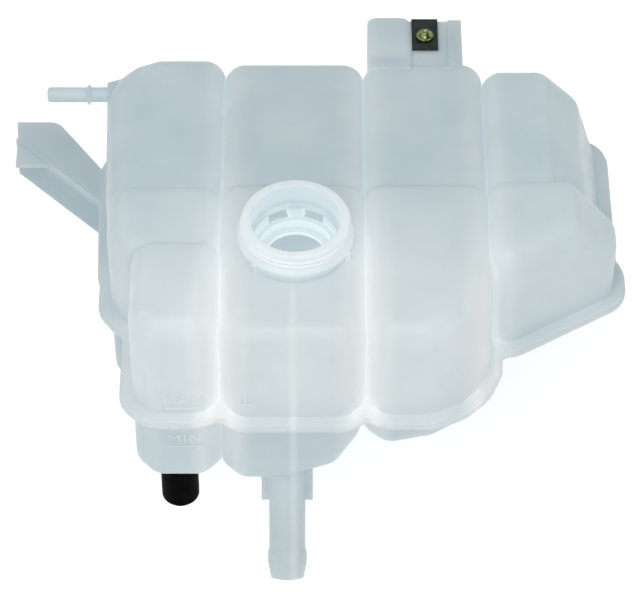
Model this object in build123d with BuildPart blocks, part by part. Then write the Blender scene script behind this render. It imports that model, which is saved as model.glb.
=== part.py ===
"""Coolant expansion tank: two welded plastic mouldings made of rounded cells, with their fittings.

The frame has its origin on the filler axis at the rim of the neck, +Z up out of the neck, +Y to
the back, where the clip tab is, and +X to the right. Heights of the upper moulding and depths of
the lower one are counted from the weld plane between them.
"""

import os
from collections import namedtuple
from math import cos, radians, sin

from build123d import *

# Tank walls, millimetres and degrees
WALL = 2.4
CELL_RADIUS = 11.0
SCALLOP_RADIUS = 17.0
CELL_OVERLAP = 1.0
REAR_OVERLAP = 0.5
PRISM_HEIGHT = 90.0
RIM_HEIGHT = 78.0

# Plan of the cells, from the filler axis
LEFT_PARTITION_X = -37.0
RIGHT_PARTITION_X = 34.0
END_PARTITION_X = 95.0
BLOCK_LEFT_X = -80.5
MID_LEFT_X = -93.5
REAR_LEFT_X = -94.5
VENT_LEFT_X = -98.5
NOSE_RIGHT_X = 160.5
REAR_RIGHT_X = 157.0
BLOCK_FRONT_Y = -60.0
FILLER_FRONT_Y = -62.0
CORNER_FRONT_Y = -60.5
NOSE_FRONT_Y = -22.0
NOSE_SIDE_Y = 18.5
BLOCK_BACK_Y = 3.0
RIDGE_Y = 40.0
NOSE_RIDGE_Y = 43.0
REAR_FRONT_Y = 26.0
REAR_TUCK = 18.0
VENT_BACK_Y = 132.5
REAR_BACK_Y = 129.5
NOSE_BACK_Y = 124.0
STEP_RADIUS = 22.0
SWEEP_RADIUS = 38.0
VENT_RADIUS = 32.0
LONG_ARC = 30.0
SHARP_TURN = 50.0

# Roof heights above the weld plane
BLOCK_ROOF = 64.0
FRONT_ROOF = 60.0
NOSE_ROOF = 63.0
RIDGE_ROOF = 67.0
NOSE_RIDGE_ROOF = 66.0
REAR_ROOF = 63.0
NOSE_SHOULDER = ((138.0, 64.0), (160.5, 36.0))
REAR_SHOULDERS = (((127.0, 63.0), (145.0, 44.0)), ((145.0, 44.0), (156.5, 4.0)))

# Floor depths below the weld plane
SUMP_DEPTH = 52.0
REAR_SUMP_DEPTH = 40.0
NOSE_DEPTH = 14.0
SUMP_SLOPES = (((-6.0, 52.0), (21.0, 40.0)), ((21.0, 40.0), (34.5, 13.0)))
SHELF_SLOPE = ((33.0, 30.0), (96.0, 13.0))

# Weld flange
FLANGE_WIDTH = 6.0
FLANGE_THICKNESS = 2.0
FLANGE_LIP = 0.8
NOTCH_RADIUS = 5.0

# Windows through the partitions
WINDOW_WIDTH = 24.0
WINDOW_RISE = 11.0

# Filler neck, down from its rim
NECK_RADIUS = 26.2
COLLAR_STEP = 2.2
COLLAR_TOP = 8.5
COLLAR_SLOPE = 2.0
COLLAR_BOTTOM = 18.0
RIM_CHAMFER = 0.6
MOUTH_WALL = 3.9
MOUTH_DEPTH = 11.0
SEAT_STEP = 1.6
SEAT_DROP = 4.0
THROAT_STEP = 2.2
THROAT_DROP = 6.0
STRAINER_STEP = 3.7
STRAINER_DROP = 6.5
STRAINER_PLATE = 2.0
NECK_WALL = 2.8
VENT_WIDTH = 11.0
VENT_ANGLES = (65, 115, 245, 295)
LUG_ANGLES = (-27, 48, 131, 226)
LUG_SIZE = 4.0

# Vent nipple, out to the left from the end of its boss
NIPPLE_X = -97.6
NIPPLE_Y = 114.5
NIPPLE_HEIGHT = 50.0
NIPPLE_LENGTH = 31.0
NIPPLE_RADIUS = 3.9
NIPPLE_BORE = 2.1
NIPPLE_CHAMFER = 0.8
BEAD_RADIUS = 5.6
BEAD_WIDTH = 2.6
BEAD_FROM_BOSS = 8.3
BOSS_RADIUS = 6.2
BOSS_ROOT_RADIUS = 13.0
BOSS_ROOT = 23.6

# Clip tab on the back wall
TAB_LEFT_X = 36.5
TAB_MID_X = 58.8
TAB_RIGHT_X = 85.5
TAB_BACK_Y = 157.5
TAB_ROOT = 10.0
LUG_BACK_Y = 157.5
LUG_RISE = 1.0
LUG_HEIGHT = 18.0
LUG_ROUND = 5.0
PLATE_DROP = 1.5
PLATE_THICKNESS = 3.0
STRIP_WIDTH = 7.0
STRIP_RISE = 1.0
GUSSET_HEIGHT = 16.0
NUT_X = 66.4
NUT_Y = 145.0
TAB_HOLE_RADIUS = 4.6

# Spring clip and its captive nut
CLIP_WIDTH = 13.6
CLIP_LENGTH = 23.0
CLIP_SHEET = 0.9
NUT_RADIUS = 3.9
NUT_CLEARANCE = 0.1
THREAD_RADIUS = 2.55
NUT_RISE = 0.8
NUT_HEAD = 10.0
NUT_HEAD_THICKNESS = 2.2

# Bracket arm on the left, with the web and the ledge under it
ARM_ROOT = ((-102.0, 108.0), (-96.0, 99.0), (-102.0, 86.5))
ARM_TIP = ((-149.0, 133.0), (-150.0, 145.0), (-128.0, 145.0))
ARM_THICKNESS = 2.6
ARM_ROUND = 9.0
WEB_HEIGHT = 26.0
WEB_THICKNESS = 2.6
LEDGE_DROP = 1.0
LEDGE_Y = 113.6
LEDGE_THICKNESS = 2.0

# Outlet spigot, tilted forward from straight down
SPIGOT_X = -4.7
SPIGOT_Y = -52.3
SPIGOT_DEPTH = 57.9
SPIGOT_TILT = 38.7
SPIGOT_LENGTH = 51.0
SPIGOT_RADIUS = 9.2
SPIGOT_BORE = 6.8
SPIGOT_ROOT = 14.0
BARB_RADIUS = 9.9
TIP_RADIUS = 8.5
BARB_LENGTH = 15.0
BARB_RAMP = 2.0
BARB_LAND = 5.0
FIN_SPAN = 26.0
FIN_THICKNESS = 3.0
FIN_LENGTH = 11.0

# Rubber foot on its peg
FOOT_X = -59.3
FOOT_Y = -47.0
FOOT_RADIUS = 9.5
FOOT_LENGTH = 27.0
FOOT_TREAD = 6.8
FOOT_TAPER = 3.6
PEG_RADIUS = 5.0
PEG_LENGTH = 20.0
PEG_CLEARANCE = 0.1

# Level sensor well in the front left cell
WELL_X = -47.3
WELL_Y = -22.0
WELL_RADIUS = 6.7
WELL_WALL = 1.8
WELL_HEIGHT = 52.0
WELL_CHAMFER = 2.5

# Stiffening rib behind the front wall of the filler cell
RIB_X = -1.0
RIB_THICKNESS = 2.0
RIB_DEPTH = 12.0
RIB_HEIGHT = 44.0
RIB_DROP = 26.0

WELD_Z = -RIM_HEIGHT
WELD_PLANE = Plane.XY.offset(WELD_Z)
BASE = (Align.CENTER, Align.CENTER, Align.MIN)
FRONT = (Align.CENTER, Align.MIN, Align.MIN)
HANGING = (Align.CENTER, Align.CENTER, Align.MAX)

Cell = namedtuple("Cell", "corners caps")


def level(height):
    """Z of a height above the weld plane."""
    return WELD_Z + height


def rectangle(x_low, x_high, y_low, y_high):
    """Corners of a cell's plan, from its front left corner round to its back left one."""
    return [(x_low, y_low), (x_high, y_low), (x_high, y_high), (x_low, y_high)]


def flat(height):
    """Level cap plane."""
    return Plane.XY.offset(level(height))


def pitched(y_front, front, y_back, back):
    """Cap plane that rises or falls from the front of a cell to its back."""
    normal = (0, front - back, y_back - y_front)
    return Plane(origin=(0, y_front, level(front)), x_dir=(1, 0, 0), z_dir=normal)


def sloped(high, low):
    """Cap plane that falls to the right, through two points given as X and height."""
    normal = (high[1] - low[1], 0, low[0] - high[0])
    return Plane(origin=(high[0], 0, level(high[1])), x_dir=(0, 1, 0), z_dir=normal)


def eased(corners, radii):
    """Corners of a plan whose wide ones are turned in two or four steps round an arc of their radius."""
    points = []
    for place, radius in enumerate(radii):
        corner = Vector(*corners[place])
        if not radius:
            points.append(corner)
            continue
        before = (corner - Vector(*corners[place - 1])).normalized()
        after = (Vector(*corners[(place + 1) % len(corners)]) - corner).normalized()
        turn = before.get_angle(after)
        steps = 2 if radius < LONG_ARC else 4
        centre = corner + (after - before).normalized() * radius / cos(radians(turn / 2))
        reach = radius / cos(radians(turn / steps / 2))
        outward = before.rotate(Axis.Z, -90)
        for step in range(steps):
            points.append(centre + outward.rotate(Axis.Z, turn * (step + 0.5) / steps) * reach)
    return points


def prism(cell, inset=0.0):
    """Sharp solid on the cell's plan, cut by its caps, with every face moved in by the inset."""
    with BuildPart() as sharp:
        with BuildSketch(WELD_PLANE):
            with BuildLine():
                Polyline(*cell.corners, close=True)
            make_face()
            if inset:
                offset(amount=-inset, kind=Kind.INTERSECTION)
        extrude(amount=PRISM_HEIGHT)
        for cap in cell.caps:
            split(bisect_by=cap.offset(-inset), keep=Keep.BOTTOM)
    return sharp.part


def pillow(cell):
    """Outside of one compartment, rounded all over."""
    with BuildPart() as rounded:
        add(prism(cell))
        caps = rounded.faces().filter_by(lambda face: face.normal_at().Z > 0.2)
        rims = {edge for cap in caps for edge in cap.edges()}
        fillet([*rounded.edges().filter_by(Axis.Z), *rims], CELL_RADIUS)
    return rounded.part


def tangents(cell):
    """Points and outward directions round the cell's plan, on its sides and across its sharper corners."""
    corners = [Vector(*corner) for corner in cell.corners]
    found = []
    for place, corner in enumerate(corners):
        before = (corner - corners[place - 1]).normalized()
        after = (corners[(place + 1) % len(corners)] - corner).normalized()
        turn = before.get_angle(after)
        found.append((corner, after.rotate(Axis.Z, -90)))
        if turn > SHARP_TURN:
            outward = (before - after).normalized()
            gap = CELL_RADIUS * (1 / cos(radians(turn / 2)) - 1)
            found.append((corner - outward * gap, outward))
    return found


def room(cell):
    """Hollow of one compartment, a wall's thickness inside it, with flats where that is rounded."""
    with BuildPart() as hollow:
        add(prism(cell, WALL))
        for point, outward in tangents(cell):
            foot = point + Vector(0, 0, WELD_Z)
            split(bisect_by=Plane(origin=foot - outward * WALL, z_dir=outward), keep=Keep.BOTTOM)
            for cap in cell.caps:
                rise = (cap.origin - foot).dot(cap.z_dir) / cap.z_dir.Z
                slant = (outward + cap.z_dir).normalized()
                depth = CELL_RADIUS * (1 / slant.dot(cap.z_dir) - 1) + WALL
                edge = foot + Vector(0, 0, rise)
                split(bisect_by=Plane(origin=edge - slant * depth, z_dir=slant), keep=Keep.BOTTOM)
    return hollow.part


left_edge = LEFT_PARTITION_X + CELL_OVERLAP
filler_edges = (LEFT_PARTITION_X - CELL_OVERLAP, RIGHT_PARTITION_X + CELL_OVERLAP)
corner_edges = (RIGHT_PARTITION_X - CELL_OVERLAP, END_PARTITION_X + CELL_OVERLAP)
nose_edge = END_PARTITION_X - CELL_OVERLAP
rear_left_edge = LEFT_PARTITION_X + REAR_OVERLAP
rear_filler_edges = (LEFT_PARTITION_X - REAR_OVERLAP, RIGHT_PARTITION_X + REAR_OVERLAP)
rear_corner_edges = (RIGHT_PARTITION_X - REAR_OVERLAP, END_PARTITION_X + REAR_OVERLAP)
rear_nose_edge = END_PARTITION_X - REAR_OVERLAP
mid_front = BLOCK_BACK_Y - 2 * CELL_OVERLAP
rear_front = REAR_FRONT_Y - REAR_TUCK

mid_corners = [
    (MID_LEFT_X, mid_front),
    (left_edge, mid_front - REAR_TUCK),
    (left_edge, RIDGE_Y),
    (MID_LEFT_X, RIDGE_Y),
]
nose_corners = [
    (nose_edge, NOSE_FRONT_Y),
    (NOSE_RIGHT_X, NOSE_SIDE_Y),
    (NOSE_RIGHT_X, NOSE_RIDGE_Y),
    (nose_edge, NOSE_RIDGE_Y),
]
rear_left_corners = [
    (REAR_LEFT_X, REAR_FRONT_Y),
    (rear_left_edge, rear_front),
    (rear_left_edge, VENT_BACK_Y),
    (VENT_LEFT_X, VENT_BACK_Y),
]
rear_nose_corners = [
    (rear_nose_edge, rear_front),
    (REAR_RIGHT_X, REAR_FRONT_Y),
    (REAR_RIGHT_X, NOSE_BACK_Y),
    (rear_nose_edge, NOSE_BACK_Y),
]

# Plan radii in the order of the corners, where none means no more than the cell's own rounding
plain = [None, None, None, None]
scalloped = [SCALLOP_RADIUS, SCALLOP_RADIUS, None, None]
stepped = [STEP_RADIUS, None, None, None]
swept = [SCALLOP_RADIUS, SWEEP_RADIUS, None, None]
vented = [None, None, None, VENT_RADIUS]

front_roof = pitched(FILLER_FRONT_Y, FRONT_ROOF, RIDGE_Y, RIDGE_ROOF)

UPPER_CELLS = {
    "front_left": Cell(
        eased(rectangle(BLOCK_LEFT_X, left_edge, BLOCK_FRONT_Y, BLOCK_BACK_Y), scalloped),
        [flat(BLOCK_ROOF)],
    ),
    "mid_left": Cell(
        eased(mid_corners, stepped),
        [pitched(mid_front, FRONT_ROOF, RIDGE_Y, RIDGE_ROOF)],
    ),
    "filler": Cell(
        eased(rectangle(*filler_edges, FILLER_FRONT_Y, RIDGE_Y), scalloped),
        [front_roof],
    ),
    "front_corner": Cell(
        eased(rectangle(*corner_edges, CORNER_FRONT_Y, RIDGE_Y), swept),
        [front_roof],
    ),
    "nose": Cell(
        eased(nose_corners, plain),
        [pitched(NOSE_FRONT_Y, NOSE_ROOF, NOSE_RIDGE_Y, NOSE_RIDGE_ROOF), sloped(*NOSE_SHOULDER)],
    ),
    "rear_left": Cell(
        eased(rear_left_corners, vented),
        [flat(REAR_ROOF)],
    ),
    "rear_filler": Cell(
        eased(rectangle(*rear_filler_edges, rear_front, REAR_BACK_Y), plain),
        [flat(REAR_ROOF)],
    ),
    "rear_corner": Cell(
        eased(rectangle(*rear_corner_edges, rear_front, REAR_BACK_Y), plain),
        [flat(REAR_ROOF)],
    ),
    "rear_nose": Cell(
        eased(rear_nose_corners, plain),
        [flat(REAR_ROOF)] + [sloped(*shoulder) for shoulder in REAR_SHOULDERS],
    ),
}

# The lower cells are laid out as if they stood on the weld plane, and are mirrored below it
LOWER_CELLS = {
    "front_sump": Cell(
        eased(rectangle(BLOCK_LEFT_X, left_edge, BLOCK_FRONT_Y, BLOCK_BACK_Y), scalloped),
        [flat(SUMP_DEPTH)],
    ),
    "rear_sump": Cell(
        eased([mid_corners[0], mid_corners[1], (left_edge, REAR_BACK_Y), (MID_LEFT_X, REAR_BACK_Y)], stepped),
        [pitched(mid_front, SUMP_DEPTH, REAR_BACK_Y, REAR_SUMP_DEPTH)],
    ),
    "outlet_sump": Cell(
        eased(rectangle(*filler_edges, FILLER_FRONT_Y, REAR_BACK_Y), scalloped),
        [flat(SUMP_DEPTH)] + [sloped(*slope) for slope in SUMP_SLOPES],
    ),
    "shelf": Cell(
        eased(rectangle(*corner_edges, CORNER_FRONT_Y, REAR_BACK_Y), swept),
        [sloped(*SHELF_SLOPE)],
    ),
    "nose_shelf": Cell(
        eased([nose_corners[0], nose_corners[1], (REAR_RIGHT_X, NOSE_BACK_Y), (nose_edge, NOSE_BACK_Y)], plain),
        [flat(NOSE_DEPTH)],
    ),
}

upper_pillows = [pillow(cell) for cell in UPPER_CELLS.values()]
upper_rooms = [room(cell) for cell in UPPER_CELLS.values()]
lower_pillows = [pillow(cell) for cell in LOWER_CELLS.values()]
lower_rooms = [room(cell) for cell in LOWER_CELLS.values()]

# Scalloped outline that the two weld flanges share, and the lip by which the lower one is wider
with BuildSketch(WELD_PLANE) as flange_plan:
    for cell in UPPER_CELLS.values():
        with BuildLine():
            FilletPolyline(*cell.corners, radius=CELL_RADIUS, close=True)
        make_face()
    offset(amount=FLANGE_WIDTH + NOTCH_RADIUS)
    offset(amount=-NOTCH_RADIUS)

with BuildSketch(WELD_PLANE) as lip_plan:
    offset(flange_plan.sketch, amount=FLANGE_LIP)

# Middle of each window, on the weld plane; the shallow floor beside the end partition keeps those out
WINDOWS = [
    (LEFT_PARTITION_X, -25, WELD_Z),
    (RIGHT_PARTITION_X, -10, WELD_Z),
    (LEFT_PARTITION_X, 85, WELD_Z),
    (RIGHT_PARTITION_X, 85, WELD_Z),
]
END_WINDOWS = [
    (END_PARTITION_X, 12, WELD_Z),
    (END_PARTITION_X, 80, WELD_Z),
]

nipple_start = (NIPPLE_X, NIPPLE_Y, level(NIPPLE_HEIGHT))
NIPPLE_PLANE = Plane(origin=nipple_start, x_dir=(-1, 0, 0), z_dir=(0, 1, 0))
NIPPLE_AXIS = Axis(nipple_start, (-1, 0, 0))
plate_top = level(REAR_ROOF - PLATE_DROP)
plate_bottom = plate_top - PLATE_THICKNESS
tab_root_y = REAR_BACK_Y - TAB_ROOT
collar_radius = NECK_RADIUS + COLLAR_STEP
mouth_radius = NECK_RADIUS - MOUTH_WALL
seat_radius = mouth_radius - SEAT_STEP
seat_outer = seat_radius + NECK_WALL
seat_depth = MOUTH_DEPTH + SEAT_DROP
throat_radius = seat_radius - THROAT_STEP
throat_outer = throat_radius + NECK_WALL
throat_depth = seat_depth + THROAT_DROP
strainer_radius = throat_radius - STRAINER_STEP
strainer_depth = throat_depth + STRAINER_DROP
strainer_top = strainer_depth - STRAINER_PLATE

os.makedirs("parts", exist_ok=True)

# Upper moulding, with the filler neck, the vent nipple and the clip tab
with BuildPart() as upper_shell:
    add(upper_pillows)
    extrude(flange_plan.sketch, amount=FLANGE_THICKNESS)

    # Flared boss and beaded nipple
    with BuildSketch(NIPPLE_PLANE):
        with BuildLine():
            Polyline(
                (-BOSS_ROOT, 0),
                (-BOSS_ROOT, BOSS_ROOT_RADIUS),
                (0, BOSS_RADIUS),
                (0, NIPPLE_RADIUS),
                (BEAD_FROM_BOSS, NIPPLE_RADIUS),
                (BEAD_FROM_BOSS + BEAD_WIDTH / 2, BEAD_RADIUS),
                (BEAD_FROM_BOSS + BEAD_WIDTH, NIPPLE_RADIUS),
                (NIPPLE_LENGTH - NIPPLE_CHAMFER, NIPPLE_RADIUS),
                (NIPPLE_LENGTH, NIPPLE_RADIUS - NIPPLE_CHAMFER),
                (NIPPLE_LENGTH, 0),
                close=True,
            )
        make_face()
    revolve(axis=NIPPLE_AXIS)

    # Lug a little above the roof, and the plate that the spring clip grips
    with BuildSketch(flat(REAR_ROOF + LUG_RISE)):
        with Locations(((TAB_LEFT_X + TAB_MID_X) / 2, (tab_root_y + LUG_BACK_Y) / 2)):
            Rectangle(TAB_MID_X - TAB_LEFT_X, LUG_BACK_Y - tab_root_y)
        fillet(vertices().group_by(Axis.Y)[-1], LUG_ROUND)
    extrude(amount=-LUG_HEIGHT)
    with Locations((TAB_MID_X - WALL, tab_root_y, plate_bottom)):
        Box(TAB_RIGHT_X - TAB_MID_X + WALL, TAB_BACK_Y - tab_root_y, PLATE_THICKNESS, align=Align.MIN)
    with Locations((TAB_RIGHT_X - STRIP_WIDTH, tab_root_y, plate_bottom)):
        Box(STRIP_WIDTH, TAB_BACK_Y - tab_root_y, PLATE_THICKNESS + STRIP_RISE, align=Align.MIN)
    with BuildSketch(Plane.YZ.offset(TAB_RIGHT_X)):
        with BuildLine():
            Polyline(
                (tab_root_y, plate_bottom),
                (TAB_BACK_Y, plate_bottom),
                (REAR_BACK_Y, plate_bottom - GUSSET_HEIGHT),
                (tab_root_y, plate_bottom - GUSSET_HEIGHT),
                close=True,
            )
        make_face()
    extrude(amount=-WALL)

    add(upper_rooms, mode=Mode.SUBTRACT)

    # Bore of the nipple and hollow of its boss
    with BuildSketch(NIPPLE_PLANE):
        with BuildLine():
            Polyline(
                (-BOSS_ROOT, 0),
                (-BOSS_ROOT, BOSS_ROOT_RADIUS - WALL),
                (-WALL, NIPPLE_BORE),
                (NIPPLE_LENGTH, NIPPLE_BORE),
                (NIPPLE_LENGTH, 0),
                close=True,
            )
        make_face()
    revolve(axis=NIPPLE_AXIS, mode=Mode.SUBTRACT)

    # Hollow of the lug, open below, and the hole for the captive nut
    with Locations((TAB_LEFT_X + WALL, REAR_BACK_Y, level(REAR_ROOF + LUG_RISE - LUG_HEIGHT))):
        Box(
            TAB_MID_X - TAB_LEFT_X - 2 * WALL,
            LUG_BACK_Y - REAR_BACK_Y - WALL,
            LUG_HEIGHT - WALL,
            align=Align.MIN,
            mode=Mode.SUBTRACT,
        )
    with Locations((NUT_X, NUT_Y, plate_bottom)):
        Cylinder(TAB_HOLE_RADIUS, PLATE_THICKNESS, align=BASE, mode=Mode.SUBTRACT)

    with Locations(*WINDOWS, *END_WINDOWS):
        Box(4 * WALL, WINDOW_WIDTH, 2 * WINDOW_RISE, mode=Mode.SUBTRACT)
    with Locations((RIB_X, FILLER_FRONT_Y + WALL / 2, WELD_Z)):
        Box(RIB_THICKNESS, RIB_DEPTH, RIB_HEIGHT, align=FRONT)

    # Filler neck through the roof, with its collar, cap seat and strainer ledge
    Cylinder(throat_outer, strainer_depth, align=HANGING, mode=Mode.SUBTRACT)
    with BuildSketch(Plane.XZ):
        with BuildLine():
            Polyline(
                (mouth_radius, 0),
                (NECK_RADIUS, 0),
                (NECK_RADIUS, -COLLAR_TOP),
                (collar_radius, -COLLAR_TOP - COLLAR_SLOPE),
                (collar_radius, -COLLAR_BOTTOM),
                (seat_outer, -COLLAR_BOTTOM),
                (seat_outer, -throat_depth),
                (throat_outer, -throat_depth),
                (throat_outer, -strainer_depth),
                (strainer_radius, -strainer_depth),
                (strainer_radius, -strainer_top),
                (throat_radius, -strainer_top),
                (throat_radius, -throat_depth),
                (seat_radius, -throat_depth),
                (seat_radius, -seat_depth),
                (mouth_radius, -MOUTH_DEPTH),
                close=True,
            )
        make_face()
        chamfer(vertices().group_by(Axis.Y)[-1].sort_by(Axis.X)[-1], RIM_CHAMFER)
    revolve(axis=Axis.Z)
    for angle in LUG_ANGLES:
        with Locations(Location((0, 0, -COLLAR_BOTTOM), (0, 0, angle))):
            with Locations((collar_radius, 0, 0)):
                Box(LUG_SIZE, LUG_SIZE / 2, COLLAR_BOTTOM - COLLAR_TOP - COLLAR_SLOPE, align=BASE)
    for angle in VENT_ANGLES:
        with Locations(Location((0, 0, -throat_depth), (0, 0, angle))):
            with Locations((seat_radius, 0, 0)):
                Box(2 * NECK_WALL, VENT_WIDTH, throat_depth - seat_depth, align=BASE, mode=Mode.SUBTRACT)
upper_shell.part.label = "upper_shell"
export_step(upper_shell.part, "parts/upper_shell.step")

web_root = ARM_ROOT[-1]
web_tip = ARM_TIP[0]
ledge_share = (LEDGE_Y - web_root[1]) / (web_tip[1] - web_root[1])
ledge_inner = (web_root[0] + ledge_share * (web_tip[0] - web_root[0]), LEDGE_Y)
tilt = radians(SPIGOT_TILT)
spigot_start = (SPIGOT_X, SPIGOT_Y, level(-SPIGOT_DEPTH))
SPIGOT_PLANE = Plane(origin=spigot_start, x_dir=(1, 0, 0), z_dir=(0, cos(tilt), -sin(tilt)))
SPIGOT_AXIS = Axis(spigot_start, (0, -sin(tilt), -cos(tilt)))
barb_start = SPIGOT_LENGTH - BARB_LENGTH

# Lower moulding, with the bracket arm, the outlet spigot, the peg of the foot and the sensor well
with BuildPart() as lower_shell:
    mirror(lower_pillows, about=WELD_PLANE)
    extrude(lip_plan.sketch, amount=-FLANGE_THICKNESS)

    # Arm, its hanging web and the ledge in front of the web
    with BuildSketch(WELD_PLANE):
        with BuildLine():
            Polyline(*ARM_ROOT, *ARM_TIP, close=True)
        make_face()
        fillet(vertices().sort_by_distance((*ARM_TIP[-1], 0))[0], ARM_ROUND)
    extrude(amount=-ARM_THICKNESS)
    with BuildSketch(WELD_PLANE):
        with BuildLine():
            Line(web_root, web_tip)
        trace(line_width=WEB_THICKNESS)
    extrude(amount=-WEB_HEIGHT)
    with BuildSketch(WELD_PLANE.offset(-LEDGE_DROP)):
        with BuildLine():
            Polyline(web_tip, (web_tip[0], LEDGE_Y), ledge_inner, close=True)
        make_face()
    extrude(amount=-LEDGE_THICKNESS)

    # Spigot with its barbed end, and the two fins at its root
    with BuildSketch(SPIGOT_PLANE):
        with BuildLine():
            Polyline(
                (0, -SPIGOT_ROOT),
                (SPIGOT_RADIUS, -SPIGOT_ROOT),
                (SPIGOT_RADIUS, barb_start),
                (BARB_RADIUS, barb_start + BARB_RAMP),
                (BARB_RADIUS, barb_start + BARB_RAMP + BARB_LAND),
                (TIP_RADIUS, SPIGOT_LENGTH),
                (0, SPIGOT_LENGTH),
                close=True,
            )
        make_face()
    revolve(axis=SPIGOT_AXIS)
    with BuildSketch(SPIGOT_PLANE):
        with Locations((0, (FIN_LENGTH - SPIGOT_ROOT) / 2)):
            Rectangle(FIN_SPAN, FIN_LENGTH + SPIGOT_ROOT)
    extrude(amount=FIN_THICKNESS / 2, both=True)

    mirror(lower_rooms, about=WELD_PLANE, mode=Mode.SUBTRACT)

    with BuildSketch(SPIGOT_PLANE):
        with Locations((SPIGOT_BORE / 2, (SPIGOT_LENGTH - SPIGOT_ROOT) / 2)):
            Rectangle(SPIGOT_BORE, SPIGOT_LENGTH + SPIGOT_ROOT)
    revolve(axis=SPIGOT_AXIS, mode=Mode.SUBTRACT)
    with Locations(*WINDOWS):
        Box(4 * WALL, WINDOW_WIDTH, 2 * WINDOW_RISE, mode=Mode.SUBTRACT)
    with Locations((RIB_X, FILLER_FRONT_Y + WALL / 2, level(-RIB_DROP))):
        Box(RIB_THICKNESS, RIB_DEPTH, RIB_DROP, align=FRONT)

    # Peg for the rubber foot, and the well that a level sensor is pushed into from below
    with Locations((FOOT_X, FOOT_Y, level(-SUMP_DEPTH + WALL / 2))):
        Cylinder(PEG_RADIUS, PEG_LENGTH + WALL / 2, align=HANGING)
    with Locations((WELL_X, WELL_Y, level(-SUMP_DEPTH))):
        Cylinder(WELL_RADIUS, SUMP_DEPTH + WELL_HEIGHT, align=BASE)
    chamfer(edges().filter_by(GeomType.CIRCLE).group_by(Axis.Z)[-1], WELL_CHAMFER)
    with Locations((WELL_X, WELL_Y, level(-SUMP_DEPTH))):
        Cylinder(WELL_RADIUS - WELL_WALL, SUMP_DEPTH + WELL_HEIGHT - WELL_WALL, align=BASE, mode=Mode.SUBTRACT)
lower_shell.part.label = "lower_shell"
export_step(lower_shell.part, "parts/lower_shell.step")

clip_back_y = TAB_BACK_Y + CLIP_SHEET
clip_front_y = clip_back_y - CLIP_LENGTH

# Spring clip folded over the back edge of the plate
with BuildPart() as spring_clip:
    with BuildSketch(Plane.YZ.offset(NUT_X)):
        with BuildLine():
            Polyline(
                (clip_front_y, plate_top),
                (TAB_BACK_Y, plate_top),
                (TAB_BACK_Y, plate_bottom),
                (clip_front_y, plate_bottom),
                (clip_front_y, plate_bottom - CLIP_SHEET),
                (clip_back_y, plate_bottom - CLIP_SHEET),
                (clip_back_y, plate_top + CLIP_SHEET),
                (clip_front_y, plate_top + CLIP_SHEET),
                close=True,
            )
        make_face()
    extrude(amount=CLIP_WIDTH / 2, both=True)
    with Locations((NUT_X, NUT_Y, plate_top + CLIP_SHEET)):
        Cylinder(
            NUT_RADIUS + NUT_CLEARANCE,
            PLATE_THICKNESS + 2 * CLIP_SHEET,
            align=HANGING,
            mode=Mode.SUBTRACT,
        )
spring_clip.part.label = "spring_clip"
export_step(spring_clip.part, "parts/spring_clip.step")

nut_seat_z = plate_bottom - CLIP_SHEET

# Captive nut, its square head under the clip and its barrel up through both leaves
with BuildPart() as captive_nut:
    with Locations((NUT_X, NUT_Y, nut_seat_z)):
        Box(NUT_HEAD, NUT_HEAD, NUT_HEAD_THICKNESS, align=HANGING)
        Cylinder(NUT_RADIUS, PLATE_THICKNESS + 2 * CLIP_SHEET + NUT_RISE, align=BASE)
    with Locations((NUT_X, NUT_Y, nut_seat_z - NUT_HEAD_THICKNESS)):
        Cylinder(
            THREAD_RADIUS,
            NUT_HEAD_THICKNESS + PLATE_THICKNESS + 2 * CLIP_SHEET + NUT_RISE,
            align=BASE,
            mode=Mode.SUBTRACT,
        )
captive_nut.part.label = "captive_nut"
export_step(captive_nut.part, "parts/captive_nut.step")

foot_bore = PEG_RADIUS + PEG_CLEARANCE
foot_base = (FOOT_X, FOOT_Y, level(-SUMP_DEPTH - FOOT_LENGTH))
FOOT_PLANE = Plane(origin=foot_base, x_dir=(1, 0, 0), z_dir=(0, -1, 0))

# Rubber foot pushed on to its peg
with BuildPart() as rubber_foot:
    with BuildSketch(FOOT_PLANE):
        with BuildLine():
            Polyline(
                (0, 0),
                (FOOT_TREAD, 0),
                (FOOT_RADIUS, FOOT_TAPER),
                (FOOT_RADIUS, FOOT_LENGTH),
                (foot_bore, FOOT_LENGTH),
                (foot_bore, FOOT_LENGTH - PEG_LENGTH),
                (0, FOOT_LENGTH - PEG_LENGTH),
                close=True,
            )
        make_face()
    revolve(axis=Axis(FOOT_PLANE.origin, (0, 0, 1)))
rubber_foot.part.label = "rubber_foot"
export_step(rubber_foot.part, "parts/rubber_foot.step")
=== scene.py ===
# %% [markdown]
# # A coolant expansion tank
# The tank is two milky plastic mouldings welded along a flange, with a steel clip, a nut and a rubber
# foot. Its solids come from the CAD frame. This lesson adds what is too fine for them, such as threads
# and level marks, gives every piece a finish, and sets up the light and the camera.

# %% Load the frame
from math import cos, pi, radians, sin

import bmesh
import bpy
from mathutils import Matrix, Vector
from mathutils.bvhtree import BVHTree


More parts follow.
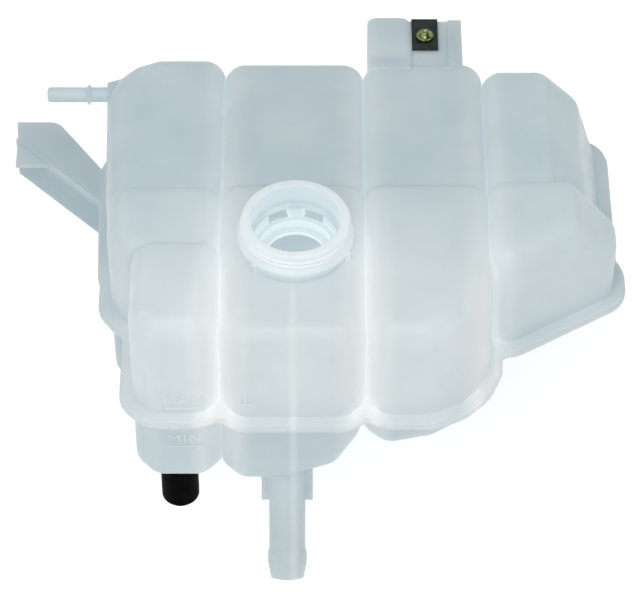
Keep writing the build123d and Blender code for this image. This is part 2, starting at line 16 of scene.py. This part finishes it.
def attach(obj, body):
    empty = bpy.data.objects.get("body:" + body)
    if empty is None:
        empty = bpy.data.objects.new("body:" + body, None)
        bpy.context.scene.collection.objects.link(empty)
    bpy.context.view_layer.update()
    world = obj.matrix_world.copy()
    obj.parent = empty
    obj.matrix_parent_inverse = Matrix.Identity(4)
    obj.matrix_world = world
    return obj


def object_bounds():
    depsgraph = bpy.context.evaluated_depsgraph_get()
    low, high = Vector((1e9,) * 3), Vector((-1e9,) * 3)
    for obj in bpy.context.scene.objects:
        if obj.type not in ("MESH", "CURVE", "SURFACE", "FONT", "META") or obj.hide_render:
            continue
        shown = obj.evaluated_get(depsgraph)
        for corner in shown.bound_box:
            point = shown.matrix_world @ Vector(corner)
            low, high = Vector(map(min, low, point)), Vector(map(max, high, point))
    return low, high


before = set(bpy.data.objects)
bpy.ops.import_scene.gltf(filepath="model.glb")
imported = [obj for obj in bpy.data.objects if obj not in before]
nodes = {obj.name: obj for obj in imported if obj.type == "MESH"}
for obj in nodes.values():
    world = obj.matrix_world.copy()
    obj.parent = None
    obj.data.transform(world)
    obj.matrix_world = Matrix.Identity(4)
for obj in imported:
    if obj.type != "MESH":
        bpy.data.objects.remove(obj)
cad_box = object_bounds()
MM = 0.001
print("CAD nodes:", ", ".join(sorted(nodes)))

# %% [markdown]
# ## Helpers for pieces
# Every new piece is one bmesh turned into an object at the origin, so that its place is in its mesh,
# as it is in a CAD node. It rides on the tank and takes the finish that it is given.

# %% Turn a bmesh into a piece
MERGE_REACH = 0.01 * MM


def add_piece(name, bm, material):
    """Make an object of the bmesh, fixed to the tank."""
    bmesh.ops.remove_doubles(bm, verts=bm.verts, dist=MERGE_REACH)
    bmesh.ops.recalc_face_normals(bm, faces=bm.faces)
    mesh = bpy.data.meshes.new(name)
    bm.to_mesh(mesh)
    bm.free()
    piece = bpy.data.objects.new(name, mesh)
    bpy.context.scene.collection.objects.link(piece)
    mesh.materials.append(material)
    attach(piece, "root")
    print(name, len(mesh.polygons), "faces")


# %% [markdown]
# ## Helpers for finishes
# A finish is a Principled shader with a few nodes in front of it. The patterns read Object coordinates,
# which are metres in the frame, so a pattern keeps its real size and its place on the tank. Most of a
# noise lies within NOISE_SPAN, so a ramp over that span makes full use of it.

# %% Build node trees
NOISE_SPAN = (0.3, 0.7)


class Finish:
    """A material under construction, with short ways to add the nodes that the finishes share."""

    def __init__(self, name, **sockets):
        self.material = bpy.data.materials.new(name)
        self.material.use_nodes = True
        self.tree = self.material.node_tree
        self.shader = self.tree.nodes["Principled BSDF"]
        for socket, value in sockets.items():
            label = socket.replace("_", " ").title().replace("Ior", "IOR")
            self.shader.inputs[label].default_value = value
        self.place = self.add("ShaderNodeTexCoord").outputs["Object"]

    def add(self, kind, **settings):
        """Add a node of this kind."""
        node = self.tree.nodes.new(kind)
        for setting, value in settings.items():
            setattr(node, setting, value)
        return node

    def feed(self, socket, value):
        """Link a node's output to a socket, or set the socket to a plain value."""
        if isinstance(value, bpy.types.NodeSocket):
            self.tree.links.new(value, socket)
        else:
            socket.default_value = value

    def noise(self, scale, detail=2.0):
        """Cloudy pattern between 0 and 1, with about this many clouds to a metre."""
        node = self.add("ShaderNodeTexNoise")
        self.feed(node.inputs["Vector"], self.place)
        self.feed(node.inputs["Scale"], scale)
        self.feed(node.inputs["Detail"], detail)
        return node.outputs["Fac"]

    def coordinate(self, axis):
        """Distance in metres from the origin along X, Y or Z."""
        node = self.add("ShaderNodeSeparateXYZ")
        self.feed(node.inputs["Vector"], self.place)
        return node.outputs[axis]

    def math(self, operation, first, second=0.0):
        """One operation on one or two values."""
        node = self.add("ShaderNodeMath", operation=operation)
        self.feed(node.inputs[0], first)
        self.feed(node.inputs[1], second)
        return node.outputs["Value"]

    def fold(self, operation, values):
        """The same operation all along a list of values."""
        result = values[0]
        for value in values[1:]:
            result = self.math(operation, result, value)
        return result

    def ramp(self, value, start, end, low=0.0, high=1.0):
        """Ease from low to high as the value goes from start to end."""
        node = self.add("ShaderNodeMapRange", interpolation_type="SMOOTHSTEP")
        for socket, number in zip(node.inputs, (value, start, end, low, high)):
            self.feed(socket, number)
        return node.outputs["Result"]

    def blend(self, share, first, second):
        """Mix of two colours."""
        node = self.add("ShaderNodeMix", data_type="RGBA")
        self.feed(node.inputs["Factor"], share)
        self.feed(node.inputs["A"], first)
        self.feed(node.inputs["B"], second)
        colours = [output for output in node.outputs if output.type == "RGBA"]
        return colours[0]

    def bump(self, height, depth):
        """Relief of this depth in metres."""
        node = self.add("ShaderNodeBump")
        self.feed(node.inputs["Height"], height)
        self.feed(node.inputs["Distance"], depth)
        self.feed(node.inputs["Strength"], 1.0)
        self.feed(self.shader.inputs["Normal"], node.outputs["Normal"])


def colour(red, green, blue):
    """Opaque colour from linear red, green and blue."""
    return (red, green, blue, 1.0)


# %% [markdown]
# ## Milky plastic
# The walls are unpainted polypropylene, about two millimetres thick. Thin panels let some of the dark
# inside show, so they look blue-grey, and places with more plastic look whiter: the partitions behind the
# grooves, the welded flange and the neck. A few bands and zones say where those places are. Much of their
# whiteness is painted glow, which stands in for light that comes through the walls.

# %% Where the plastic is thick
PARTITIONS_X = (-37.0 * MM, 34.0 * MM, 95.0 * MM)
BAND_REACH = 17.0 * MM
GROOVE_REACH = 9.0 * MM
WELD_Z = -78.0 * MM
WELD_REACH = 6.0 * MM
RIB_X = -1.3 * MM
RIB_REACH = 3.2 * MM
WELL_X = -47.3 * MM
WELL_REACH = 9.0 * MM
NECK_REACH = 31.0 * MM
NECK_EDGE = 2.0 * MM
NECK_FOOT = -16.0 * MM


def ridge(finish, value, middle, reach):
    """1 where the value is in the middle, easing to 0 at this reach on both sides."""
    away = finish.math("ABSOLUTE", finish.math("SUBTRACT", value, middle))
    return finish.ramp(away, reach, 0.0)


def partition_bands(finish, reach):
    """Bands of this reach over the partitions behind the grooves."""
    across = finish.coordinate("X")
    bands = [ridge(finish, across, partition, reach) for partition in PARTITIONS_X]
    return finish.fold("MAXIMUM", bands)


def weld_band(finish):
    """Band along the welded flange."""
    return ridge(finish, finish.coordinate("Z"), WELD_Z, WELD_REACH)


def neck_zone(finish):
    """1 on the filler neck, 0 on the roof round it."""
    squares = [finish.math("POWER", finish.coordinate(axis), 2.0) for axis in ("X", "Y")]
    away = finish.math("SQRT", finish.math("ADD", *squares))
    beside = finish.ramp(away, NECK_REACH, NECK_REACH - NECK_EDGE)
    above = finish.ramp(finish.coordinate("Z"), NECK_FOOT, NECK_FOOT / 2)
    return finish.math("MULTIPLY", beside, above)


print("zones of", len(PARTITIONS_X), "partitions, the weld, the rib, the well and the neck")

# %% [markdown]
# ## How milky and how lit each place is
# The shares of all zones add up to one number, which blends from the colour of a thin panel to that of
# thick plastic. Towards its front the tank is painted lighter, where its walls face the light, and darker
# at the back, which faces away: this is painted light and shade. The lower moulding is darker.

# %% Add up the shares
PANEL = colour(0.41, 0.525, 0.575)
MILK = colour(0.92, 0.97, 0.985)
BACK_TO_FRONT = (60.0 * MM, -60.0 * MM)
# Panel and groove shares grow from the back to the front: painted shade at the back, painted light in
# front, on top of the grooves' thick plastic.
PAINTED_LIGHT_SHARES = (0.32, 0.64)
GROOVE_MILK_AND_FRONT_LIGHT_SHARES = (0.12, 0.46)
TO_FRONT_WALL = (-25.0 * MM, -40.0 * MM)
RIB_SHARE = 0.24
WELL_SHARE = 0.12
CLOUDS = 24.0
CLOUD_DETAIL = 3.0
CLOUD_SHARE = 0.06
TO_LOWER_MOULDING = (-80.0 * MM, -86.0 * MM)
LOWER_SHARE = -0.27
TO_ARM = (-96.0 * MM, -106.0 * MM)
ARM_SHARE = -0.08
TO_CLIP_TAB = (116.0 * MM, 128.0 * MM)
TAB_SHARE = -0.01


def milk_and_painted_light_share(finish):
    """How milky the plastic is at each place, about 0 for a thin panel and 1 for thick plastic, with
    painted light towards the front and painted shade at the back.
    """
    across = finish.coordinate("X")
    depth = finish.coordinate("Y")
    height = finish.coordinate("Z")
    front = finish.ramp(depth, *TO_FRONT_WALL)
    grooves = partition_bands(finish, BAND_REACH)
    rib = ridge(finish, across, RIB_X, RIB_REACH)
    well = ridge(finish, across, WELL_X, WELL_REACH)
    clouds = finish.noise(CLOUDS, CLOUD_DETAIL)
    shares = [
        # Groove bands of thick plastic, made stronger towards the front as painted light.
        finish.math("MULTIPLY", grooves, finish.ramp(depth, *BACK_TO_FRONT, *GROOVE_MILK_AND_FRONT_LIGHT_SHARES)),
        finish.fold("MULTIPLY", [rib, front, RIB_SHARE]),
        finish.fold("MULTIPLY", [well, front, WELL_SHARE]),
        # Painted light and shade: lighter towards the front walls, which face the light, darker at the
        # back.
        finish.ramp(depth, *BACK_TO_FRONT, *PAINTED_LIGHT_SHARES),
        finish.ramp(clouds, *NOISE_SPAN, -CLOUD_SHARE, CLOUD_SHARE),
        finish.ramp(height, *TO_LOWER_MOULDING, 0.0, LOWER_SHARE),
        finish.ramp(across, *TO_ARM, 0.0, ARM_SHARE),
        finish.ramp(depth, *TO_CLIP_TAB, 0.0, TAB_SHARE),
    ]
    return finish.fold("ADD", shares)


print("panels from", PAINTED_LIGHT_SHARES[0], "at the back to", PAINTED_LIGHT_SHARES[1], "in front")

# %% [markdown]
# ## Light from inside
# Following light through every wall would be slow. Ambient occlusion finds the enclosed places instead,
# and they glow a little. The seams, the places near the floor and the right-hand groove keep only a part
# of their glow. The grooves and the neck have a glow of their own.

# %% Glow of the walls
GLOW = colour(0.985, 1.0, 0.985)
GLOW_REACH = 120.0 * MM
GLOW_SAMPLES = 6
OPEN_TO_ENCLOSED = (0.43, 0.16)
ENCLOSED_GLOW = 0.28
WELD_DIMMING = 0.45
SEAM_KEEPS = 0.35
FLOOR_TO_TANK = (-150.0 * MM, -132.0 * MM)
FLOOR_KEEPS = 0.5
GROOVE_FADE = (60.0 * MM, -40.0 * MM)
GROOVE_GLOWS = (0.06, 0.08)
TO_RIGHT_GROOVE = (60.0 * MM, 80.0 * MM)
RIGHT_KEEPS = 0.6
NECK_GLOW = 0.19


def enclosed_glow(finish):
    """Glow of enclosed places, weaker in the grooves, on the flange and near the floor."""
    open_sky = finish.add("ShaderNodeAmbientOcclusion", samples=GLOW_SAMPLES)
    finish.feed(open_sky.inputs["Distance"], GLOW_REACH)
    weld = finish.math("MULTIPLY", weld_band(finish), WELD_DIMMING)
    seams = finish.math("MAXIMUM", partition_bands(finish, GROOVE_REACH), weld)
    factors = [
        finish.ramp(open_sky.outputs["AO"], *OPEN_TO_ENCLOSED, 0.0, ENCLOSED_GLOW),
        finish.ramp(seams, 0.0, 1.0, 1.0, SEAM_KEEPS),
        finish.ramp(finish.coordinate("Z"), *FLOOR_TO_TANK, FLOOR_KEEPS, 1.0),
    ]
    return finish.fold("MULTIPLY", factors)


def groove_glow(finish):
    """Soft light of the partitions behind the upper moulding's grooves, stronger in front."""
    factors = [
        partition_bands(finish, GROOVE_REACH),
        finish.ramp(finish.coordinate("Z"), WELD_Z - WELD_REACH, WELD_Z + WELD_REACH),
        finish.ramp(finish.coordinate("Y"), *GROOVE_FADE, *GROOVE_GLOWS),
        finish.ramp(finish.coordinate("X"), *TO_RIGHT_GROOVE, 1.0, RIGHT_KEEPS),
    ]
    return finish.fold("MULTIPLY", factors)


def inner_glow(finish):
    """Light that comes through the walls, in enclosed places, in the grooves and on the neck."""
    glow = finish.math("ADD", enclosed_glow(finish), groove_glow(finish))
    return finish.math("MAXIMUM", glow, finish.math("MULTIPLY", neck_zone(finish), NECK_GLOW))


print("enclosed places glow by up to", ENCLOSED_GLOW)

# %% [markdown]
# ## The two plastics
# The mouldings scatter light below their surface, which softens every edge. The raised marks and the
# thread have a milkier shade without the scattering, which would darken a piece as thin as a letter.

# %% Plastic of the mouldings, and of marks and thread
PLASTIC_IOR = 1.49
SCATTER_SCALE = 9.0 * MM
SATIN_CLOUDS = 160.0
SATIN = (0.32, 0.44)
GRAIN = 900.0
GRAIN_DETAIL = 1.0
GRAIN_DEPTH = 0.02 * MM
RAISED_SHARE = 0.44
RAISED_NECK_GLOW = 0.10


def satin(finish):
    """Roughness of the moulded surface, which drifts a little."""
    return finish.ramp(finish.noise(SATIN_CLOUDS), *NOISE_SPAN, *SATIN)


def milky_plastic():
    """Finish of the two mouldings."""
    finish = Finish("milky_plastic", subsurface_weight=1.0, subsurface_scale=SCATTER_SCALE,
                    ior=PLASTIC_IOR, emission_color=GLOW)
    inputs = finish.shader.inputs
    finish.feed(inputs["Subsurface Radius"], (1.0, 1.0, 1.0))
    finish.feed(inputs["Base Color"], finish.blend(milk_and_painted_light_share(finish), PANEL, MILK))
    finish.feed(inputs["Emission Strength"], inner_glow(finish))
    finish.feed(inputs["Roughness"], satin(finish))
    finish.bump(finish.noise(GRAIN, GRAIN_DETAIL), GRAIN_DEPTH)
    return finish.material


def raised_plastic():
    """Finish of the raised marks and of the neck's thread."""
    finish = Finish("raised_plastic", ior=PLASTIC_IOR, emission_color=GLOW)
    share = finish.math("ADD", milk_and_painted_light_share(finish), RAISED_SHARE)
    # On the neck the thread gets the neck's painted glow, light that comes through the walls.
    glow = finish.math("MULTIPLY", neck_zone(finish), RAISED_NECK_GLOW)
    inputs = finish.shader.inputs
    finish.feed(inputs["Base Color"], finish.blend(share, PANEL, MILK))
    finish.feed(inputs["Emission Strength"], glow)
    finish.feed(inputs["Roughness"], satin(finish))
    return finish.material


plastic = milky_plastic()
marks = raised_plastic()
print("finishes:", plastic.name, "and", marks.name)

# %% [markdown]
# ## Clip, nut and foot
# The clip is spring steel with a black coating, the nut in it is zinc plated and passivated to a yellow
# olive, and the foot is moulded rubber with a faint grain.

# %% Finishes of the fittings
COATING = colour(0.003, 0.0065, 0.0068)
WORN_COATING = colour(0.016, 0.025, 0.025)
ZINC = colour(0.50, 0.56, 0.24)
ZINC_TARNISH = colour(0.06, 0.09, 0.07)
RUBBER = colour(0.002, 0.002, 0.0022)
RUBBER_BLOOM = colour(0.005, 0.005, 0.0055)
SPOT_SPAN = (0.35, 0.7)
SPOT_DETAIL = 4.0


def mottled(name, main, spots, scale, roughness, relief, **sockets):
    """Finish whose colour and roughness drift in clouds, with a fine relief."""
    finish = Finish(name, **sockets)
    inputs = finish.shader.inputs
    clouds = finish.ramp(finish.noise(scale, SPOT_DETAIL), *SPOT_SPAN)
    finish.feed(inputs["Base Color"], finish.blend(clouds, main, spots))
    finish.feed(inputs["Roughness"], finish.ramp(finish.noise(3 * scale), *NOISE_SPAN, *roughness))
    finish.bump(finish.noise(8 * scale, GRAIN_DETAIL), relief)
    return finish.material


black_coating = mottled("black_coating", COATING, WORN_COATING, scale=220.0, roughness=(0.28, 0.45),
                        relief=0.02 * MM)
yellow_zinc = mottled("yellow_zinc", ZINC, ZINC_TARNISH, scale=450.0, roughness=(0.15, 0.30),
                      relief=0.01 * MM, metallic=1.0)
foot_rubber = mottled("foot_rubber", RUBBER, RUBBER_BLOOM, scale=150.0, roughness=(0.45, 0.6),
                      relief=0.03 * MM, specular_ior_level=0.01)

NODE_FINISHES = {
    "upper_shell": plastic,
    "lower_shell": plastic,
    "spring_clip": black_coating,
    "captive_nut": yellow_zinc,
    "rubber_foot": foot_rubber,
}
for node, finish in NODE_FINISHES.items():
    nodes[node].data.materials.clear()
    nodes[node].data.materials.append(finish)
print("finishes on", len(NODE_FINISHES), "nodes")

# %% [markdown]
# ## Thread of the neck
# A screw cap grips a low thread round the outside of the neck. A triangle of three vertices is spun about
# the filler axis and moves down a little at each step, as a tool does that cuts a thread on a lathe.

# %% Spin the cap thread
NECK_RADIUS = 26.2 * MM
CAP_THREAD_ROOT = 0.1 * MM
CAP_THREAD_RISE = 0.9 * MM
CAP_THREAD_WIDTH = 1.5 * MM
CAP_THREAD_PITCH = 2.5 * MM
CAP_THREAD_START = -2.2 * MM
CAP_THREAD_TURNS = 2.2
CAP_THREAD_STEPS = 96


def spin_thread(root, crest, width, pitch, top, turns, steps):
    """Triangular ridge along a helix about the Z axis, closed at both ends, with these steps to a turn."""
    bm = bmesh.new()
    profile = [
        bm.verts.new((root, 0.0, top - width / 2)),
        bm.verts.new((crest, 0.0, top)),
        bm.verts.new((root, 0.0, top + width / 2)),
    ]
    bm.faces.new(profile)
    bmesh.ops.spin(
        bm,
        geom=bm.verts[:] + bm.edges[:] + bm.faces[:],
        cent=(0, 0, 0),
        axis=(0, 0, 1),
        dvec=(0, 0, -pitch / steps),
        angle=2 * pi * turns,
        steps=round(turns * steps),
        use_merge=False,
        use_duplicate=False,
    )
    return bm


cap_thread = spin_thread(
    root=NECK_RADIUS - CAP_THREAD_ROOT,
    crest=NECK_RADIUS + CAP_THREAD_RISE,
    width=CAP_THREAD_WIDTH,
    pitch=CAP_THREAD_PITCH,
    top=CAP_THREAD_START,
    turns=CAP_THREAD_TURNS,
    steps=CAP_THREAD_STEPS,
)
add_piece("cap_thread", cap_thread, marks)

# %% [markdown]
# ## Thread of the nut
# The same spin with the crest turned inwards gives the thread that glints in the clip's hole.

# %% Spin the nut thread
NUT_PLACE = Vector((66.4, 145.0, 0.0)) * MM
NUT_TOP = -14.8 * MM
NUT_BORE = 2.55 * MM
NUT_THREAD_ROOT = 0.05 * MM
NUT_THREAD_DEPTH = 0.4 * MM
NUT_PITCH = 1.0 * MM
NUT_THREAD_WIDTH = 0.9 * NUT_PITCH
NUT_THREAD_START = NUT_TOP - 0.7 * NUT_PITCH
NUT_THREAD_TURNS = 6.2
NUT_THREAD_STEPS = 32

nut_thread = spin_thread(
    root=NUT_BORE + NUT_THREAD_ROOT,
    crest=NUT_BORE - NUT_THREAD_DEPTH,
    width=NUT_THREAD_WIDTH,
    pitch=NUT_PITCH,
    top=NUT_THREAD_START,
    turns=NUT_THREAD_TURNS,
    steps=NUT_THREAD_STEPS,
)
bmesh.ops.translate(nut_thread, verts=nut_thread.verts, vec=NUT_PLACE)
add_piece("nut_thread", nut_thread, yellow_zinc)

# %% [markdown]
# ## Rim of the nut
# The end of the nut is spread over the clip by a conical punch. The rim is half a section spun once round
# the nut, and its bright cone is what catches the light in the photograph. The section's corners are
# radius and rise in millimetres.

# %% Spin the nut's rim
RIM_SECTION = [(2.6, -0.3), (2.6, 0.0), (3.9, 0.75), (4.3, 0.75), (4.5, 0.45), (4.5, -0.3)]
RIM_STEPS = 48

nut_rim = bmesh.new()
corners = [nut_rim.verts.new((radius * MM, 0.0, NUT_TOP + rise * MM)) for radius, rise in RIM_SECTION]
sides = [nut_rim.edges.new(ends) for ends in zip(corners, corners[1:] + corners[:1])]
bmesh.ops.spin(
    nut_rim,
    geom=corners + sides,
    cent=(0, 0, 0),
    axis=(0, 0, 1),
    angle=2 * pi,
    steps=RIM_STEPS,
    use_merge=True,
    use_duplicate=False,
)
bmesh.ops.translate(nut_rim, verts=nut_rim.verts, vec=NUT_PLACE)
add_piece("nut_rim", nut_rim, yellow_zinc)

# %% [markdown]
# ## Level marks
# The front wall carries raised words and lines for the highest and the lowest level of coolant. The words
# are text made into a mesh, and the lines are bars. Both start flat.

# %% Make flat words and bars
CAPITAL_SHARE = 0.7
LETTER_SPACE = 1.15
BAR_SEGMENTS = 12
UPRIGHT = Matrix.Rotation(pi / 2, 3, "X")


def stand_up(bm, x_middle, z_middle):
    """Turn a flat mesh on to the XZ plane and move it to its place."""
    bmesh.ops.rotate(bm, verts=bm.verts, matrix=UPRIGHT)
    bmesh.ops.translate(bm, verts=bm.verts, vec=(x_middle, 0, z_middle))
    return bm


def word(text, height, x_middle, z_middle):
    """Flat mesh of a word on the XZ plane."""
    curve = bpy.data.curves.new(text, "FONT")
    curve.body = text
    curve.size = height / CAPITAL_SHARE
    curve.align_x = "CENTER"
    curve.align_y = "CENTER"
    curve.space_character = LETTER_SPACE
    holder = bpy.data.objects.new(text, curve)
    bpy.context.scene.collection.objects.link(holder)
    bpy.context.view_layer.update()
    mesh = bpy.data.meshes.new_from_object(holder)
    bpy.data.objects.remove(holder)
    bm = bmesh.new()
    bm.from_mesh(mesh)
    bmesh.ops.subdivide_edges(bm, edges=bm.edges, cuts=1)
    bmesh.ops.triangulate(bm, faces=bm.faces)
    return stand_up(bm, x_middle, z_middle)


def bar(width, height, x_middle, z_middle):
    """Flat rectangle on the XZ plane, divided so that it can bend."""
    bm = bmesh.new()
    bmesh.ops.create_grid(bm, x_segments=BAR_SEGMENTS, y_segments=1, size=0.5)
    bmesh.ops.scale(bm, verts=bm.verts, vec=(width, height, 1))
    return stand_up(bm, x_middle, z_middle)


WORD_HEIGHT = 6.0 * MM
WORD_X = -55.0 * MM
LINE_LENGTH = 18.0 * MM
LINE_WIDTH = 1.0 * MM
MAX_LINE_WIDTH = 1.6 * MM
MAX_WORD_Z = WELD_Z + 12.0 * MM
MAX_LINE_Z = WELD_Z + 6.0 * MM
MIN_WORD_Z = WELD_Z - 17.0 * MM
MIN_LINE_Z = WELD_Z - 23.0 * MM
TICK_X = -24.6 * MM
TICK_LENGTH = 6.0 * MM
TICK_Z = WELD_Z + 11.0 * MM
STEM_HEIGHT = 7.0 * MM
STEM_Z = WELD_Z + 15.0 * MM

LEVEL_MARKS = {
    "max_word": ("upper_shell", word("MAX", WORD_HEIGHT, WORD_X, MAX_WORD_Z)),
    "max_line": ("upper_shell", bar(LINE_LENGTH, MAX_LINE_WIDTH, WORD_X, MAX_LINE_Z)),
    "tick_line": ("upper_shell", bar(TICK_LENGTH, LINE_WIDTH, TICK_X, TICK_Z)),
    "tick_stem": ("upper_shell", bar(LINE_WIDTH, STEM_HEIGHT, TICK_X, STEM_Z)),
    "min_word": ("lower_shell", word("MIN", WORD_HEIGHT, WORD_X, MIN_WORD_Z)),
    "min_line": ("lower_shell", bar(LINE_LENGTH, LINE_WIDTH, WORD_X, MIN_LINE_Z)),
}
print("flat marks:", ", ".join(LEVEL_MARKS))

# %% [markdown]
# ## Marks on the wall
# Each point of a mark is dropped on to the wall along the view from the front, which bends the words round
# the scalloped corner. Then the mark is given its thickness.

# %% Drop the marks on to the front walls
MARK_RISE = 0.25 * MM
MARK_SINK = 0.15 * MM
IN_FRONT = -200.0 * MM
TO_THE_BACK = Vector((0, 1, 0))
depsgraph = bpy.context.evaluated_depsgraph_get()
walls = {name: BVHTree.FromObject(nodes[name], depsgraph) for name in ("upper_shell", "lower_shell")}


def drop_on_wall(bm, shell):
    """Lay a flat mesh that faces the front on to the shell's wall and give it its raised thickness."""
    for vert in bm.verts:
        start = Vector((vert.co.x, IN_FRONT, vert.co.z))
        hit = walls[shell].ray_cast(start, TO_THE_BACK)[0]
        vert.co.y = hit.y + MARK_SINK
    front = bmesh.ops.extrude_face_region(bm, geom=bm.faces[:])
    raised = [item for item in front["geom"] if isinstance(item, bmesh.types.BMVert)]
    bmesh.ops.translate(bm, verts=raised, vec=(0, -MARK_RISE - MARK_SINK, 0))
    return bm


for name, (shell, mark) in LEVEL_MARKS.items():
    add_piece(name, drop_on_wall(mark, shell), marks)

# %% [markdown]
# ## Floor
# The photograph is a catalogue cut-out on white. A pale floor takes the faint shadow. It looks white to
# the camera and in glossy reflections, and lights the tank as a pale floor would.

# %% Pale floor
FLOOR_WHITE = colour(0.95, 0.955, 0.96)
FLOOR_REACH = 6.0
FLOOR_GAP = 0.2 * MM
FLOOR_ROUGHNESS = 0.9
FLOOR_GLOW = 0.55

bm = bmesh.new()
bmesh.ops.create_grid(bm, x_segments=1, y_segments=1, size=FLOOR_REACH)
bmesh.ops.translate(bm, verts=bm.verts, vec=(0, 0, cad_box[0][2] - FLOOR_GAP))
floor_mesh = bpy.data.meshes.new("floor")
bm.to_mesh(floor_mesh)
bm.free()
floor = bpy.data.objects.new("floor", floor_mesh)
bpy.context.scene.collection.objects.link(floor)

floor_paint = Finish("floor_paint", roughness=FLOOR_ROUGHNESS, base_color=FLOOR_WHITE,
                     emission_color=FLOOR_WHITE)
light_path = floor_paint.add("ShaderNodeLightPath").outputs
seen = floor_paint.math("MAXIMUM", light_path["Is Camera Ray"], light_path["Is Glossy Ray"])
glow = floor_paint.math("MULTIPLY", seen, FLOOR_GLOW)
floor_paint.feed(floor_paint.shader.inputs["Emission Strength"], glow)
floor_mesh.materials.append(floor_paint.material)
print("floor at", round(cad_box[0][2] - FLOOR_GAP, 4), "m")

# %% [markdown]
# ## Light
# The world gives the even fill. A broad soft key from the front left and above, a small lamp overhead for
# the glints and a weak fill from the right shape the cells.

# %% World and lamps
SKY_WHITE = colour(1.0, 1.0, 1.0)
SKY_STRENGTH = 0.50
LAMP_TARGET = Vector((0.03, 0.03, -0.08))

world = bpy.data.worlds.new("studio")
bpy.context.scene.world = world
world.use_nodes = True
sky = world.node_tree.nodes["Background"]
sky.inputs["Color"].default_value = SKY_WHITE
sky.inputs["Strength"].default_value = SKY_STRENGTH


def softbox(name, place, size, power):
    """Square area lamp aimed at the tank."""
    lamp = bpy.data.lights.new(name, "AREA")
    lamp.shape = "SQUARE"
    lamp.size = size
    lamp.energy = power
    holder = bpy.data.objects.new(name, lamp)
    bpy.context.scene.collection.objects.link(holder)
    holder.location = place
    holder.rotation_euler = (LAMP_TARGET - Vector(place)).to_track_quat("-Z", "Y").to_euler()


softbox("key", (-0.5, -1.2, 1.3), size=1.2, power=6.8)
softbox("glint", (-0.1, -0.36, 1.4), size=0.25, power=2.2)
softbox("fill", (1.0, -0.6, 0.9), size=1.0, power=1.2)
print("lamps:", len(bpy.data.lights))

# %% [markdown]
# ## Camera
# The camera looks down at the tank at about 48 degrees with a long lens. It is placed so that the middle
# of the neck's rim, the frame's origin, falls on its pixel in the photograph.

# %% Camera at the photograph's angle
IMAGE_WIDTH = 638
IMAGE_HEIGHT = 607
FOCAL_PIXELS = 3093.0
RIM_PIXEL = (295.5, 218.0)
ELEVATION = radians(48.0)
DISTANCE = 1.5
SENSOR = 36.0

right = Vector((1, 0, 0))
forward = Vector((0, cos(ELEVATION), -sin(ELEVATION)))
up = Vector((0, sin(ELEVATION), cos(ELEVATION)))
shift_x = (RIM_PIXEL[0] - IMAGE_WIDTH / 2) / FOCAL_PIXELS
shift_y = -(RIM_PIXEL[1] - IMAGE_HEIGHT / 2) / FOCAL_PIXELS
lens = bpy.data.cameras.new("camera")
lens.sensor_fit = "HORIZONTAL"
lens.sensor_width = SENSOR
lens.lens = FOCAL_PIXELS / IMAGE_WIDTH * SENSOR
camera = bpy.data.objects.new("camera", lens)
camera.location = -(forward + shift_x * right + shift_y * up) * DISTANCE
camera.rotation_euler = forward.to_track_quat("-Z", "Y").to_euler()
bpy.context.scene.collection.objects.link(camera)
bpy.context.scene.camera = camera
bpy.context.scene.view_settings.view_transform = "Standard"
print("lens", round(lens.lens, 1), "mm")
